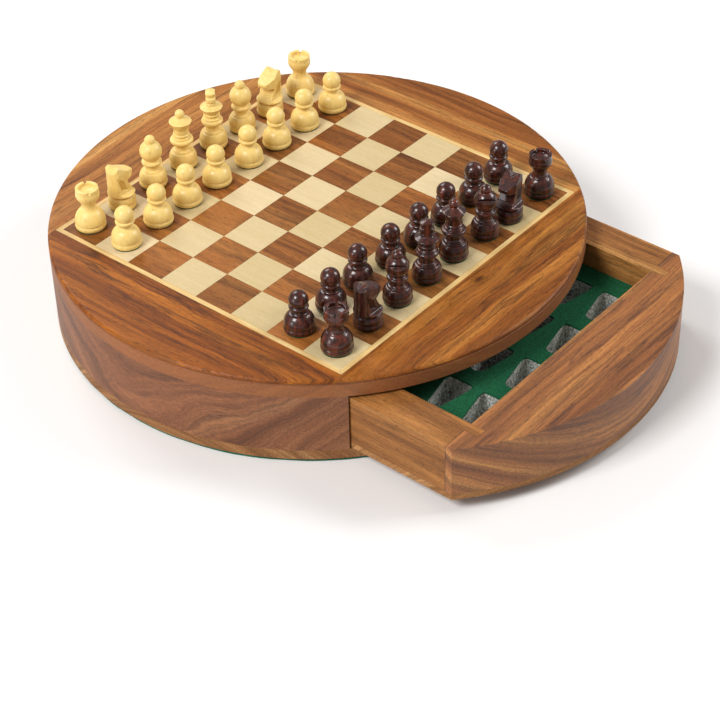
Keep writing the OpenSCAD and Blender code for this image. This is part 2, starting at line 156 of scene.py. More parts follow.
# panel, place, side in metres, watts
panels = (("left_panel", (-1.5, 0.2, 1.6), 0.8, 38.0),
          ("low_panel", (-1.7, 0.4, 0.4), 0.6, 5.0),
          ("right_panel", (1.4, -1.1, 1.2), 0.9, 25.0),
          ("back_panel", (0.5, 1.6, 1.6), 1.0, 18.0))
box_middle = (0.0, -0.03, 0.04)
for name, place, side, power in panels:
    panel = bpy.data.lights.new(name, "AREA")
    panel.shape = "SQUARE"
    panel.size = side
    panel.energy = power
    add_to_scene(name, panel).matrix_world = Matrix(aimed(place, box_middle))
bpy.context.scene.view_settings.view_transform = "Standard"

# ---------------------------------------------------------------------------------------------
# The case: solid sheesham (an Indian rosewood), sawn into flat boards, turned round on its rim,
# sanded and given a thin satin lacquer. The lid's front and rear segments have their grain along
# the box's width and the two side segments along its depth.
# ---------------------------------------------------------------------------------------------
mm_per_metre = 1000.0
millimetre = 0.001


def cad_points(node):
    """A CAD node's vertices in millimetres."""
    mesh = nodes[node].data
    points = np.empty(len(mesh.vertices) * 3)
    mesh.vertices.foreach_get("co", points)
    return points.reshape(-1, 3) * mm_per_metre


def cad_box(node):
    """The lowest and highest corner of a CAD node in millimetres, to a thousandth."""
    points = cad_points(node)
    return np.round(points.min(0), 3), np.round(points.max(0), 3)


def grain_space(tree, along="x", shift=(0.0, 0.0, 0.0), cell=None):
    """Object coordinates in millimetres, turned so that the grain runs along X.

    along is the real axis of the grain, x or y, and shift moves the pattern, so that no two boards
    match. cell is the pitch of a veneer's squares in millimetres, and gives each its own place in the
    wood and its own random number, which is the second result."""
    turn = (0.0, 0.0, math.pi / 2 if along == "y" else 0.0)
    where = add_node(tree, "ShaderNodeTexCoord").outputs["Object"]
    turned = add_node(tree, "ShaderNodeMapping", {"Vector": where, "Rotation": turn, "Location": shift,
                                                  "Scale": (mm_per_metre, mm_per_metre, mm_per_metre)})
    if cell is None:
        return turned.outputs[0], None
    # white noise on the square's row and file
    per_cell = mm_per_metre / cell
    part = add_node(tree, "ShaderNodeVectorMath", {0: where, 1: (per_cell, per_cell, 0.0)},
                    operation="MULTIPLY")
    whole = add_node(tree, "ShaderNodeVectorMath", {0: part.outputs[0]}, operation="FLOOR")
    pick = add_node(tree, "ShaderNodeTexWhiteNoise", {"Vector": whole.outputs[0]})
    # a square comes from up to 400 mm along the leaf and 160 mm across it
    jump = add_node(tree, "ShaderNodeVectorMath", {0: pick.outputs["Color"], 1: (400.0, 160.0, 0.0)},
                    operation="MULTIPLY")
    placed = add_node(tree, "ShaderNodeVectorMath", {0: turned.outputs[0], 1: jump.outputs[0]},
                      operation="ADD")
    return placed.outputs[0], pick.outputs["Value"]


def drawn_out_noise(tree, vector, sizes, detail, rough=0.6):
    """Noise on a vector in millimetres, with features of these sizes, in millimetres, along each axis."""
    scaled = add_node(tree, "ShaderNodeVectorMath", {0: vector, 1: tuple(1 / size for size in sizes)},
                      operation="MULTIPLY")
    return add_node(tree, "ShaderNodeTexNoise", {"Vector": scaled.outputs[0], "Scale": 1.0, "Detail": detail,
                                                 "Roughness": rough}).outputs["Fac"]


def darkened(tree, colour, amount, low, high, dark, light=1.0):
    """The colour times a factor that goes from dark to light as amount goes from low to high."""
    factor = add_node(tree, "ShaderNodeMapRange", {"Value": amount, "From Min": low, "From Max": high,
                                                   "To Min": dark, "To Max": light})
    return add_node(tree, "ShaderNodeMix", {0: 1.0, 6: colour, 7: factor.outputs[0]},
                    data_type="RGBA", blend_type="MULTIPLY").outputs[2]


def surfaced(tree, shader, colour, height, strength, depth, **settings):
    """Gives a material its colour, and the relief of height, this deep in millimetres."""
    tree.links.new(colour, shader.inputs["Base Color"])
    bump = add_node(tree, "ShaderNodeBump", {"Height": height, "Strength": strength,
                                             "Distance": depth * millimetre}, **settings)
    tree.links.new(bump.outputs[0], shader.inputs["Normal"])


def parted_round(tree, place, knot, sway):
    """The sway of the grain where it parts round a knot, over about 12 mm along it and 5 mm across, and
    how far each place is from the knot in those lengths."""
    off = add_node(tree, "ShaderNodeVectorMath", {0: place, 1: knot}, operation="SUBTRACT").outputs[0]
    near = add_node(tree, "ShaderNodeVectorMath", {0: off, 1: (0.08, 0.2, 0.0)}, operation="MULTIPLY")
    near = add_node(tree, "ShaderNodeVectorMath", {0: near.outputs[0]}, operation="LENGTH").outputs["Value"]
    push = add_node(tree, "ShaderNodeMapRange", {"Value": near, "From Min": 0.0, "From Max": 2.2,
                                                 "To Min": -0.75, "To Max": 0.0},
                    interpolation_type="SMOOTHSTEP")
    beside = add_node(tree, "ShaderNodeSeparateXYZ", {"Vector": off}).outputs["Y"]
    parted = add_node(tree, "ShaderNodeMath", {0: beside, 1: push.outputs[0], 2: sway},
                      operation="MULTIPLY_ADD")
    return parted.outputs[0], near


def rim_dulled_and_sheened(tree, colour, place, height, rim_z):
    """The colour of a board whose turned rim, below the height rim_z, is a duller, greyer tone, partly the
    rim's own and partly a painted sheen, with a dark line 0.6 mm wide at the foot of its rounded edge."""
    on_rim = add_node(tree, "ShaderNodeMapRange", {"Value": height, "From Min": (rim_z + 0.4) * millimetre,
                                                   "From Max": (rim_z - 0.6) * millimetre, "To Max": 0.7})
    speckle = drawn_out_noise(tree, place, (2.0, 1.0, 1.0), 2.0)
    # the rim's tone: duller than the top, and greyer and lighter in part as a painted sheen
    dull_and_sheen = darkened(tree, to_linear("#94603f"), speckle, 0.3, 0.7, 0.85, 1.15)
    colour = add_node(tree, "ShaderNodeMix", {0: on_rim.outputs[0], 6: colour, 7: dull_and_sheen},
                      data_type="RGBA").outputs[2]
    # a dark line 0.6 mm wide along the foot of the rounded edge
    edge_line = add_node(tree, "ShaderNodeMath", {0: height, 1: rim_z * millimetre, 2: 0.3 * millimetre},
                   operation="COMPARE")
    return darkened(tree, colour, edge_line.outputs[0], 0.0, 1.0, 1.0, 0.6)


def glue_line_and_seam_shade(tree, colour, here, joint_y, joint_x):
    """The colour with a dark line 0.8 mm wide at joint_y and outside joint_x: the joint's glue line,
    darkened further as painted shade of the seam between face and rail.
    """
    outer = add_node(tree, "ShaderNodeMath", {0: here["X"]}, operation="ABSOLUTE")
    outer = add_node(tree, "ShaderNodeMath", {0: outer.outputs[0], 1: joint_x * millimetre},
                     operation="GREATER_THAN")
    close = add_node(tree, "ShaderNodeMath", {0: here["Y"], 1: joint_y * millimetre, 2: 0.4 * millimetre},
                     operation="COMPARE")
    line = add_node(tree, "ShaderNodeMath", {0: outer.outputs[0], 1: close.outputs[0]}, operation="MULTIPLY")
    # painted shade of the seam between face and rail, over the joint's glue line
    return darkened(tree, colour, line.outputs[0], 0.0, 1.0, 1.0, 0.22)


def sheesham(name, along, tones, shift=(0.0, 0.0, 0.0), cell=None, streak="#3c1c0a", streaks=0.6,
             lines=0.72, pith=70.0, wave=4.0, knot=None, rim_z=None, joint=None, roughness=0.46, gloss=0.25):
    """Sheesham: growth rings about a wandering pith, dark streaks, fine growth lines, fibres and pores,
    under a satin lacquer that softens the highlights and leaves the pores open.

    tones are the dark, middle and light wood. streaks is how strong the dark streaks are, and lines how
    dark the growth lines. pith is how far below the surface the middle of the tree lies, and wave how
    far the grain wanders, both in millimetres. knot is a small knot's place in the grain's own
    millimetres. Below the height rim_z is the turned rim. joint is a glued joint's Y, and the X that it
    lies outside of."""
    material, tree, shader = new_material(name, roughness, specular_ior_level=gloss)
    place, pick = grain_space(tree, along, shift, cell)
    # the grain wanders over a hand's width, and a little over a finger's
    broad = drawn_out_noise(tree, place, (111.1, 62.5, 62.5), 1.5)
    narrow = drawn_out_noise(tree, place, (33.33, 8.333, 8.333), 2.0)
    sway = add_node(tree, "ShaderNodeMath", {0: broad, 1: wave * 2.6}, operation="MULTIPLY").outputs[0]
    sway = add_node(tree, "ShaderNodeMath", {0: narrow, 1: 1.5 + wave * 0.3, 2: sway},
                    operation="MULTIPLY_ADD").outputs[0]
    if knot:
        sway, near = parted_round(tree, place, knot, sway)
    axes = add_node(tree, "ShaderNodeSeparateXYZ", {"Vector": place}).outputs
    across = add_node(tree, "ShaderNodeMath", {0: axes["Y"], 1: sway}, operation="ADD").outputs[0]
    deep = add_node(tree, "ShaderNodeMath", {0: axes["Z"], 1: pith}, operation="ADD").outputs[0]
    fibre = add_node(tree, "ShaderNodeCombineXYZ", {"X": axes["X"], "Y": across, "Z": axes["Z"]}).outputs[0]
    # a place's distance from the pith tells which of the tree's rings it lies in
    flat = add_node(tree, "ShaderNodeCombineXYZ", {"X": across, "Y": deep, "Z": 0.0}).outputs[0]
    ring = add_node(tree, "ShaderNodeVectorMath", {0: flat}, operation="LENGTH").outputs["Value"]
    grain = add_node(tree, "ShaderNodeCombineXYZ", {"X": axes["X"], "Y": ring, "Z": 3.3}).outputs[0]
    # bands of tone about 10 mm wide, with finer ones in them
    bands = drawn_out_noise(tree, grain, (500.0, 10.0, 1.0), 4.0, 0.62)
    colour = add_node(tree, "ShaderNodeValToRGB", {"Fac": bands},
                      stops=tuple(zip((0.3, 0.5, 0.68), tones))).outputs[0]
    # dark streaks a millimetre or two wide, that come and go along the grain
    streak_noise = drawn_out_noise(tree, grain, (250.0, 12.5, 1.0), 4.5, 0.66)
    amount = add_node(tree, "ShaderNodeValToRGB", {"Fac": streak_noise},
                      stops=((0.41, 0.0), (0.43, streaks * 0.7), (0.45, 0.0), (0.56, 0.0), (0.585, streaks),
                             (0.61, 0.1), (0.68, streaks * 0.6)))
    colour = add_node(tree, "ShaderNodeMix", {0: amount.outputs[0], 6: colour, 7: to_linear(streak)},
                      data_type="RGBA").outputs[2]
    # growth lines about 1.8 mm apart, fibres 0.8 mm wide, and open pores 0.5 mm wide and 3 mm long
    growth = drawn_out_noise(tree, grain, (100.0, 1.818, 1.0), 2.5)
    colour = darkened(tree, colour, growth, 0.34, 0.58, lines, 1.06)
    fibres = drawn_out_noise(tree, fibre, (28.57, 0.8333, 0.8333), 3.0, 0.7)
    colour = darkened(tree, colour, fibres, 0.34, 0.64, 0.74, 1.18)
    pores = drawn_out_noise(tree, fibre, (3.03, 0.4762, 0.4762), 1.5)
    colour = darkened(tree, colour, pores, 0.68, 0.57, 0.5)
    if knot:
        core = add_node(tree, "ShaderNodeMapRange", {"Value": near, "From Min": 0.12, "From Max": 0.42,
                                                     "To Min": 0.85, "To Max": 0.0})
        colour = add_node(tree, "ShaderNodeMix", {0: core.outputs[0], 6: colour, 7: to_linear(streak)},
                          data_type="RGBA").outputs[2]
    if cell:
        # each square is cut from another place, so some are lighter and some darker
        colour = darkened(tree, colour, pick, 0.0, 1.0, 0.74, 1.2)
    if rim_z or joint:
        where = add_node(tree, "ShaderNodeTexCoord").outputs["Object"]
        here = add_node(tree, "ShaderNodeSeparateXYZ", {"Vector": where}).outputs
    if rim_z:
        colour = rim_dulled_and_sheened(tree, colour, place, here["Z"], rim_z)
    if joint:
        colour = glue_line_and_seam_shade(tree, colour, here, *joint)
    surfaced(tree, shader, colour, pores, 0.3, 0.2, invert=True)
    return material


# the lid's top edge is rounded over 2 mm
lid_rim = cad_box("front_segment")[1][2] - 2.0
paint(nodes["front_segment"], sheesham("sheesham_lid_front", "x", ("#62300b", "#94541b", "#b87933"),
                                       (20.0, 14.0, 0.0), rim_z=lid_rim, knot=(24.4, -97.1, 0.0)))
paint(nodes["rear_segment"], sheesham("sheesham_lid_rear", "x", ("#7e4618", "#ae6f32", "#cc9450"),
                                      (300.0, 41.0, 0.0), rim_z=lid_rim, streaks=0.5))
paint(nodes["left_segment"], sheesham("sheesham_lid_left", "y", ("#522405", "#8c490b", "#b2691c"),
                                      (80.0, 5.0, 9.0), rim_z=lid_rim, streaks=0.8))
paint(nodes["right_segment"], sheesham("sheesham_lid_right", "y", ("#723c12", "#a2622a", "#c08544"),
                                       (520.0, 77.0, 4.0), rim_z=lid_rim, streaks=0.45))
# node, place in the wood, depth of the pith, and wander of the grain
side_blocks = (("left_block", (700.0, 0.0, 0.0), 60.0, 11.0), ("right_block", (910.0, 33.0, 0.0), 65.0, 10.0))
for node, shift, pith, wave in side_blocks:
    side_wood = sheesham(f"sheesham_{node}", "y", ("#5f3317", "#8a5330", "#a06b43"), shift, pith=pith,
                         wave=wave, streak="#4a2415", streaks=0.3, lines=0.66, gloss=0.5)
    paint(nodes[node], side_wood)
paint(nodes["bottom_disc"], sheesham("sheesham_bottom", "x", ("#80502e", "#a07044", "#bd8f60"),
                                     (120.0, 12.0, 0.0), streaks=0.3, roughness=0.55))

# ---------------------------------------------------------------------------------------------
# The board: knife-cut veneer squares in maple and sheesham, 25.4 mm apart, glued on a steel sheet
# and framed by mitred maple strips. Each square comes from another place in the leaf.
# ---------------------------------------------------------------------------------------------
square = 25.4
paint(nodes["dark_squares"], sheesham("sheesham_veneer", "y", ("#6a3814", "#955a26", "#b1763a"),
                                      cell=square, pith=90.0, streaks=0.45, lines=0.66))


def mitred(tree, place):
    """A place in the board's border with X along its own strip: the smaller and the larger of its
    distances from the board's middle lines, which change over at the mitres."""
    apart = add_node(tree, "ShaderNodeVectorMath", {0: place}, operation="ABSOLUTE").outputs[0]
    apart = add_node(tree, "ShaderNodeSeparateXYZ", {"Vector": apart}).outputs
    outer = add_node(tree, "ShaderNodeMath", {0: apart["X"], 1: apart["Y"]}, operation="MAXIMUM")
    inner = add_node(tree, "ShaderNodeMath", {0: apart["X"], 1: apart["Y"]}, operation="MINIMUM")
    return add_node(tree, "ShaderNodeCombineXYZ", {"X": inner.outputs[0], "Y": outer.outputs[0],
                                                   "Z": 0.0}).outputs[0]


def maple(name, along, tones, shift=(0.0, 0.0, 0.0), cell=None):
    """Maple veneer: pale and even, with faint growth lines and short flecks, finely sanded. Where along
    is "round", the grain runs along each side of the board's border."""
    material, tree, shader = new_material(name, 0.45, specular_ior_level=0.3)
    place, pick = grain_space(tree, "x" if along == "round" else along, shift, cell)
    if along == "round":
        place = mitred(tree, place)
    # growth lines about 3 mm apart, and flecks half a millimetre wide
    growth = drawn_out_noise(tree, place, (33.33, 2.857, 2.857), 4.0)
    colour = add_node(tree, "ShaderNodeValToRGB", {"Fac": growth},
                      stops=tuple(zip((0.3, 0.5, 0.68), tones))).outputs[0]
    fleck = drawn_out_noise(tree, place, (2.5, 0.5263, 0.5263), 2.0, 0.5)
    colour = darkened(tree, colour, fleck, 0.35, 0.6, 0.93)
    if cell:
        # the darker squares are yellower too
        shade = add_node(tree, "ShaderNodeValToRGB", {"Fac": pick},
                         stops=((0.0, "#e7e3d2"), (1.0, "#ffffff")))
        colour = add_node(tree, "ShaderNodeMix", {0: 1.0, 6: colour, 7: shade.outputs[0]},
                          data_type="RGBA", blend_type="MULTIPLY").outputs[2]
    surfaced(tree, shader, colour, fleck, 0.15, 0.1)
    return material


paint(nodes["light_squares"], maple("maple_veneer", "y", ("#d8c295", "#dcc69c", "#dfcaa2"), cell=square))
paint(nodes["border_strips"], maple("maple_strip", "round", ("#c9a364", "#dbb778", "#e6c98f")))

# ---------------------------------------------------------------------------------------------
# The drawers: a thick sheesham front, sawn to the case's own curve, joined by tongues to two thick
# side rails; a back between the rails, and a thin bottom board glued under all of them.
# ---------------------------------------------------------------------------------------------
# each face is glued to the rails' tongues along its straight inner side, outside the foam's width
foam_edge = cad_box("front_drawer_foam")[1][0]
front_joint = (cad_box("front_drawer_face")[1][1], foam_edge)
rear_joint = (cad_box("rear_drawer_face")[0][1], foam_edge)
face_front = sheesham("sheesham_front_face", "x", ("#68381c", "#9e6230", "#c68948"), (40.0, 60.0, 0.0),
                      pith=120.0, wave=2.0, lines=0.66, streak="#4a2820", gloss=0.6, joint=front_joint)
face_rear = sheesham("sheesham_rear_face", "x", ("#6c3e22", "#96602f", "#b58048"), (640.0, 160.0, 0.0),
                     pith=110.0, wave=3.0, streak="#4a2a20", streaks=0.5, gloss=0.6, joint=rear_joint)
rail_wood = sheesham("sheesham_rail", "y", ("#6f4019", "#9d652f", "#b88246"), (0.0, 120.0, 0.0),
                     pith=60.0, wave=3.0, streaks=0.4, roughness=0.52, gloss=0.4)
inner_wood = sheesham("sheesham_inner", "x", ("#63391f", "#845431", "#a07045"), (77.0, 9.0, 0.0),
                      streaks=0.3, roughness=0.6)
tray_wood = sheesham("sheesham_tray", "x", ("#8d5c34", "#ad7a48", "#c69664"), (17.0, 210.0, 0.0),
                     streaks=0.25, roughness=0.55)
paint(nodes["front_drawer_face"], face_front)
paint(nodes["rear_drawer_face"], face_rear)
for side in ("front", "rear"):
    paint(nodes[f"{side}_drawer_left_rail"], rail_wood)
    paint(nodes[f"{side}_drawer_right_rail"], rail_wood)
    paint(nodes[f"{side}_drawer_back"], inner_wood)
    paint(nodes[f"{side}_drawer_bottom"], tray_wood)
paint(nodes["divider"], inner_wood)

# ---------------------------------------------------------------------------------------------
# The core of the board: birch plywood, and the bare steel sheet on it, rolled and dull, with fine
# lines along the rolling. Both are out of sight.
# ---------------------------------------------------------------------------------------------
paint(nodes["board_core"], maple("birch_core", "x", ("#b39468", "#c4a67a", "#d2b88e"), (210.0, 30.0, 0.0)))
steel, tree, shader = new_material("rolled_steel", 0.4, metallic=1.0)
place = grain_space(tree)[0]
roll_lines = drawn_out_noise(tree, place, (50.0, 0.5, 0.5), 2.0, 0.5)
roll_tone = add_node(tree, "ShaderNodeValToRGB", {"Fac": roll_lines},
                     stops=((0.3, "#808386"), (0.7, "#a4a7aa")))
tree.links.new(roll_tone.outputs[0], shader.inputs["Base Color"])
paint(nodes["steel_sheet"], steel)

# ---------------------------------------------------------------------------------------------
# The drawers' inserts: grey foam, knife-cut with a slot for each of 16 men lying down, and green
# felt glued on it with the same slots. The cut walls show the foam's grey and black cells.
# ---------------------------------------------------------------------------------------------
# the rear drawer is drawn closed, and turned half round it gives the closed front drawer's places
foam_low, foam_high = cad_box("rear_drawer_foam")
insert_x = foam_high[0]
insert_y = (-foam_high[1], -foam_low[1])
foam_floor_z, foam_top_z = foam_low[2], foam_high[2]
felt_top_z = cad_box("rear_drawer_felt")[1][2]
# the foam left under a slot is 1.5 mm thick
slot_floor_z = foam_floor_z + 1.5
drawn_open = insert_y[0] - cad_box("front_drawer_foam")[0][1]
# a slot is narrower than its man by the squeeze at each side, and longer by the spare, and the foot's
# end of it is straight
slot_squeeze, slot_spare, slot_foot = 0.7, 1.1, 5.0
pawn_pitch_x, pawn_pitch_y, officer_pitch = 37.3, 23.1, 20.4
front_margin, back_margin = 4.9, 5.0
# man: height, foot radius, head radius
man_sizes = {"pawn": (24.9, 8.7, 5.4), "rook": (26.5, 8.9, 6.8), "knight": (28.5, 8.2, 7.9),
             "bishop": (33.0, 8.3, 6.5), "queen": (37.5, 8.4, 6.75), "king": (38.0, 8.4, 6.85)}
home_rank = ("rook", "knight", "bishop", "queen", "king", "bishop", "knight", "rook")


def slot_outline(man, corner=2.0, steps=40):
    """A slot's outline, foot at the origin and head along +X: a straight foot end with rounded
    corners, a taper, and a half circle round the head. Anticlockwise, in millimetres."""
    height, foot, head = man_sizes[man]
    foot, head = foot - slot_squeeze, head - slot_squeeze
    length = height + slot_spare
    turn = np.linspace(-0.5, 0.5, steps) * math.pi
    nose = np.stack([length - head + head * np.cos(turn), head * np.sin(turn)], 1)
    quarter = np.linspace(0.0, 0.5, 8) * math.pi
    upper = np.stack([corner - corner * np.sin(quarter), foot - corner + corner * np.cos(quarter)], 1)
    lower = upper[::-1] * [1, -1]
    shoulder = np.array([[slot_foot, foot]])
    return np.concatenate([nose, shoulder, upper, lower, shoulder * [1, -1]])


def slot_plan():
    """Each slot's turned outline and the rectangle of insert round it, in the closed front drawer's
    millimetres: pawns in two rows at the front, officers head to tail behind them."""
    plan = []
    row = insert_y[0] + front_margin + man_sizes["pawn"][1] - slot_squeeze
    half_pawn = (man_sizes["pawn"][0] + slot_spare) / 2
    between, middle = row + pawn_pitch_y / 2, row + 1.5 * pawn_pitch_y
    for c in range(4):
        left = -insert_x if c == 0 else (c - 2) * pawn_pitch_x
        right = insert_x if c == 3 else (c - 1) * pawn_pitch_x
        for r, low, high in ((0, insert_y[0], between), (1, between, middle)):
            foot_at = [(c - 1.5) * pawn_pitch_x + half_pawn, row + r * pawn_pitch_y]
            plan.append((slot_outline("pawn") * [-1, -1] + foot_at, (left, right, low, high)))
    back = insert_y[1] - back_margin
    front_end = back - man_sizes["king"][0] - slot_spare
    for j, man in enumerate(home_rank):
        plain = slot_outline(man)
        x = (j - 3.5) * officer_pitch
        if j % 2 == 0:
            outline = np.stack([plain[:, 1] + x, back - plain[:, 0]], 1)
        else:
            outline = np.stack([x - plain[:, 1], front_end + plain[:, 0]], 1)
        left = -insert_x if j == 0 else (j - 4) * officer_pitch
        right = insert_x if j == 7 else (j - 3) * officer_pitch
        plan.append((outline, (left, right, middle, insert_y[1])))
    return plan


def marks(stops, step=0.8):
    """Places through all the stops along one side of the insert, at most a step apart."""
    stops = np.unique(np.round(stops, 6))
    parts = [np.linspace(a, b, int((b - a) / step) + 2)[:-1] for a, b in zip(stops[:-1], stops[1:])]
    return np.concatenate(parts + [stops[-1:]])


def border(left, right, low, high, x_marks, y_marks):
    """A rectangle as points, anticlockwise from its corner, at the marks that neighbours share."""
    x = x_marks[(x_marks > left - 0.01) & (x_marks < right + 0.01)]
    y = y_marks[(y_marks > low - 0.01) & (y_marks < high + 0.01)]
    across, along = np.full(len(x) - 1, 1.0), np.full(len(y) - 1, 1.0)
    return np.concatenate([np.stack([x[:-1], low * across], 1), np.stack([right * along, y[:-1]], 1),
                           np.stack([x[:0:-1], high * across], 1), np.stack([left * along, y[:0:-1]], 1)])


def crossed(a, b):
    """The cross product of flat vectors."""
    return a[..., 0] * b[..., 1] - a[..., 1] * b[..., 0]


def reach(outline, centre, directions):
    """How far each direction goes from centre before it crosses an edge of the outline."""
    corner = outline - centre
    edge = np.roll(corner, -1, 0) - corner
    turn = crossed(directions[:, None], edge[None])
    turn = np.where(np.abs(turn) < 1e-12, 1e-12, turn)
    ahead = crossed(corner, edge)[None] / turn
    share = crossed(corner[None], directions[:, None]) / turn
    hits = (share > -1e-6) & (share < 1 + 1e-6) & (ahead > 0)
    return np.where(hits, ahead, np.inf).min(1)


def ring_faces(rows, columns, first=0):
    """Quads of a grid whose columns go round."""
    r, c = np.meshgrid(np.arange(rows - 1), np.arange(columns), indexing="ij")
    c2 = (c + 1) % columns
    faces = np.stack([r * columns + c, r * columns + c2, (r + 1) * columns + c2, (r + 1) * columns + c], -1)
    return (faces.reshape(-1, 4) + first).tolist()


# rows of points down a slot's wall, and the gap between the foam and the felt
wall_rows, glue_gap = 14, 0.02
# the felt's cut edge: how ragged it is, and how far back from it the felt turns down
felt_fuzz, felt_roll = 0.07, 0.5
# the foam's wall: how rough, how far behind the felt's edge, how hollow, and the rounding at its floor
wall_rough, wall_back, wall_hollow, floor_round = 0.15, 0.1, 0.1, 0.5


def soft_noise(chance, shape, passes):
    """Random numbers about 0, smoothed along the first two axes, with a spread of about 1."""
    field = chance.standard_normal(shape)
    for axis in (0, 1):
        for turn in range(passes):
            field = (field + np.roll(field, 1, axis) + np.roll(field, -1, axis)) / 3
    return field / field.std()


def insert_cell(outline, edge_points, chance, felt):
    """One slot's share of the insert: points of its rectangle by a profile that runs from there to
    the slot's rim and, in the foam, down its rough wall to its floor, in the felt back underneath."""
    centre = outline.mean(0)
    away = edge_points - centre
    edge = np.hypot(away[:, 0], away[:, 1])
    directions = away / edge[:, None]
    rim = reach(outline, centre, directions)
    span = edge - rim
    if felt:
        fuzz = np.abs(felt_fuzz * soft_noise(chance, (len(edge), 1), 1)[:, 0])
        roll = np.minimum(felt_roll, span * 0.4)
        over = [edge, rim + 0.5 * span, rim + roll, rim + 0.4 * roll, rim + fuzz]
        radii = over + [rim + fuzz, rim + 0.5 * span, edge]
        share = np.array([1.0, 1.0, 1.0, 0.95, 0.7, 0.0, 0.0, 0.0])
        heights = share * (felt_top_z - foam_top_z) + foam_top_z
    else:
        depth = np.linspace(0.0, 1.0, wall_rows)[:, None]
        rough = np.abs(wall_rough * soft_noise(chance, (len(depth), len(edge)), 1))
        wall = rim + wall_back + rough + wall_hollow * np.sin(math.pi * depth)
        floor = np.array([0.96, 0.7, 0.35])[:, None] * rim
        radii = np.concatenate([[edge, rim + 0.5 * span], wall, floor])
        top = foam_top_z - glue_gap
        wall_z = (top + (slot_floor_z + floor_round - top) * depth)[:, 0]
        heights = np.concatenate([[top, top], wall_z, [slot_floor_z] * 3])
    radii = np.array(radii)
    flat = centre + radii[..., None] * directions
    return np.concatenate([flat, np.repeat(heights[:, None], len(edge), 1)[..., None]], -1), centre


# vertices closer than this are one
merge_gap = 0.002 * millimetre


def merged(piece):
    """Joins a piece's coincident vertices and points its faces outwards."""
    shell = bmesh.new()
    shell.from_mesh(piece.data)
    bmesh.ops.remove_doubles(shell, verts=shell.verts, dist=merge_gap)
    bmesh.ops.dissolve_degenerate(shell, dist=merge_gap, edges=shell.edges)
    bmesh.ops.recalc_face_normals(shell, faces=shell.faces)
    shell.to_mesh(piece.data)
    shell.free()


def insert_piece(name, side, felt, chance):
    """All 16 cells of one drawer's foam or felt and the wall round them, as one closed shell, put
    where that drawer stands."""
    plan = slot_plan()
    x_marks = marks([x for outline, bounds in plan for x in bounds[:2]])
    y_marks = marks([y for outline, bounds in plan for y in bounds[2:]])
    points, faces, first = [], [], 0
    for outline, bounds in plan:
        grid, centre = insert_cell(outline, border(*bounds, x_marks, y_marks), chance, felt)
        rows, columns = grid.shape[:2]
        faces += ring_faces(rows, columns, first)
        points.append(grid.reshape(-1, 3))
        first += rows * columns
        if not felt:
            points.append(np.array([[*centre, slot_floor_z]]))
            last = first - columns
            faces += [[first, last + k, last + (k + 1) % columns] for k in range(columns)]
            first += 1
    outer = border(-insert_x, insert_x, *insert_y, x_marks, y_marks)
    levels = (felt_top_z, foam_top_z) if felt else (foam_top_z - glue_gap, foam_floor_z)
    points += [np.concatenate([outer, np.full((len(outer), 1), z)], 1) for z in levels]
    faces += ring_faces(2, len(outer), first)
    if not felt:
        faces.append([first + len(outer) + k for k in range(len(outer))])
    points = np.concatenate(points)
    points = points - [0.0, drawn_open, 0.0] if side == "front" else points * [-1.0, -1.0, 1.0]
    piece = new_piece(name, points * millimetre, faces, smooth=False)
    merged(piece)
    return piece


# polyethylene foam is matt, and a knife leaves its cells, about 1.5 mm across: the tones paint shade in
# those cut open and highlights on those catching the light
foam_skin, tree, shader = new_material("cut_pe_foam", 0.9, specular_ior_level=0.15)
place = grain_space(tree)[0]
cells = add_node(tree, "ShaderNodeTexNoise", {"Vector": place, "Scale": 0.75, "Detail": 3.0,
                                              "Roughness": 0.65}).outputs["Fac"]
cell_tone = add_node(tree, "ShaderNodeValToRGB", {"Fac": cells},
                     stops=((0.32, "#50534f"), (0.43, "#989b95"), (0.54, "#c2c5bd"), (0.68, "#eef0e8")))
surfaced(tree, shader, cell_tone.outputs[0], cells, 0.9, 0.8)


def felt_cloth(name, dark, middle, light, fibre_mm):
    """Pressed wool felt: short fibres that lie every way, matt, with a soft sheen. Its fibres are drawn
    as tufts fibre_mm wide, because single ones are too fine to show."""
    material, tree, shader = new_material(name, 0.95, specular_ior_level=0.1, sheen_weight=0.12,
                                          sheen_roughness=0.5)
    place = grain_space(tree)[0]
    # the tufts are bent by up to 6 mm, over a few millimetres
    warp = add_node(tree, "ShaderNodeTexNoise", {"Vector": place, "Scale": 0.4, "Detail": 2.0})
    bent = add_node(tree, "ShaderNodeVectorMath", {0: warp.outputs["Color"], 1: (6.0, 6.0, 6.0), 2: place},
                    operation="MULTIPLY_ADD")
    fibres = add_node(tree, "ShaderNodeTexNoise", {"Vector": bent.outputs[0], "Scale": 1.0 / fibre_mm,
                                                   "Detail": 3.0, "Roughness": 0.7}).outputs["Fac"]
    tone = add_node(tree, "ShaderNodeValToRGB", {"Fac": fibres},
                    stops=((0.32, dark), (0.5, middle), (0.68, light)))
    surfaced(tree, shader, tone.outputs[0], fibres, 0.6, 0.3)
    return material


insert_felt = felt_cloth("green_felt", "#03351c", "#095331", "#18754b", 0.7)
chance = np.random.default_rng(7)


for side in ("front", "rear"):
    foam = paint(insert_piece(f"{side}_foam_insert", side, False, chance), foam_skin)
    felt = paint(insert_piece(f"{side}_felt_top", side, True, chance), insert_felt)
    for piece, node, slot in ((foam, f"{side}_drawer_foam", "foam"), (felt, f"{side}_drawer_felt", "felt")):
        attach(piece, f"{side}_drawer")
        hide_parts(node)

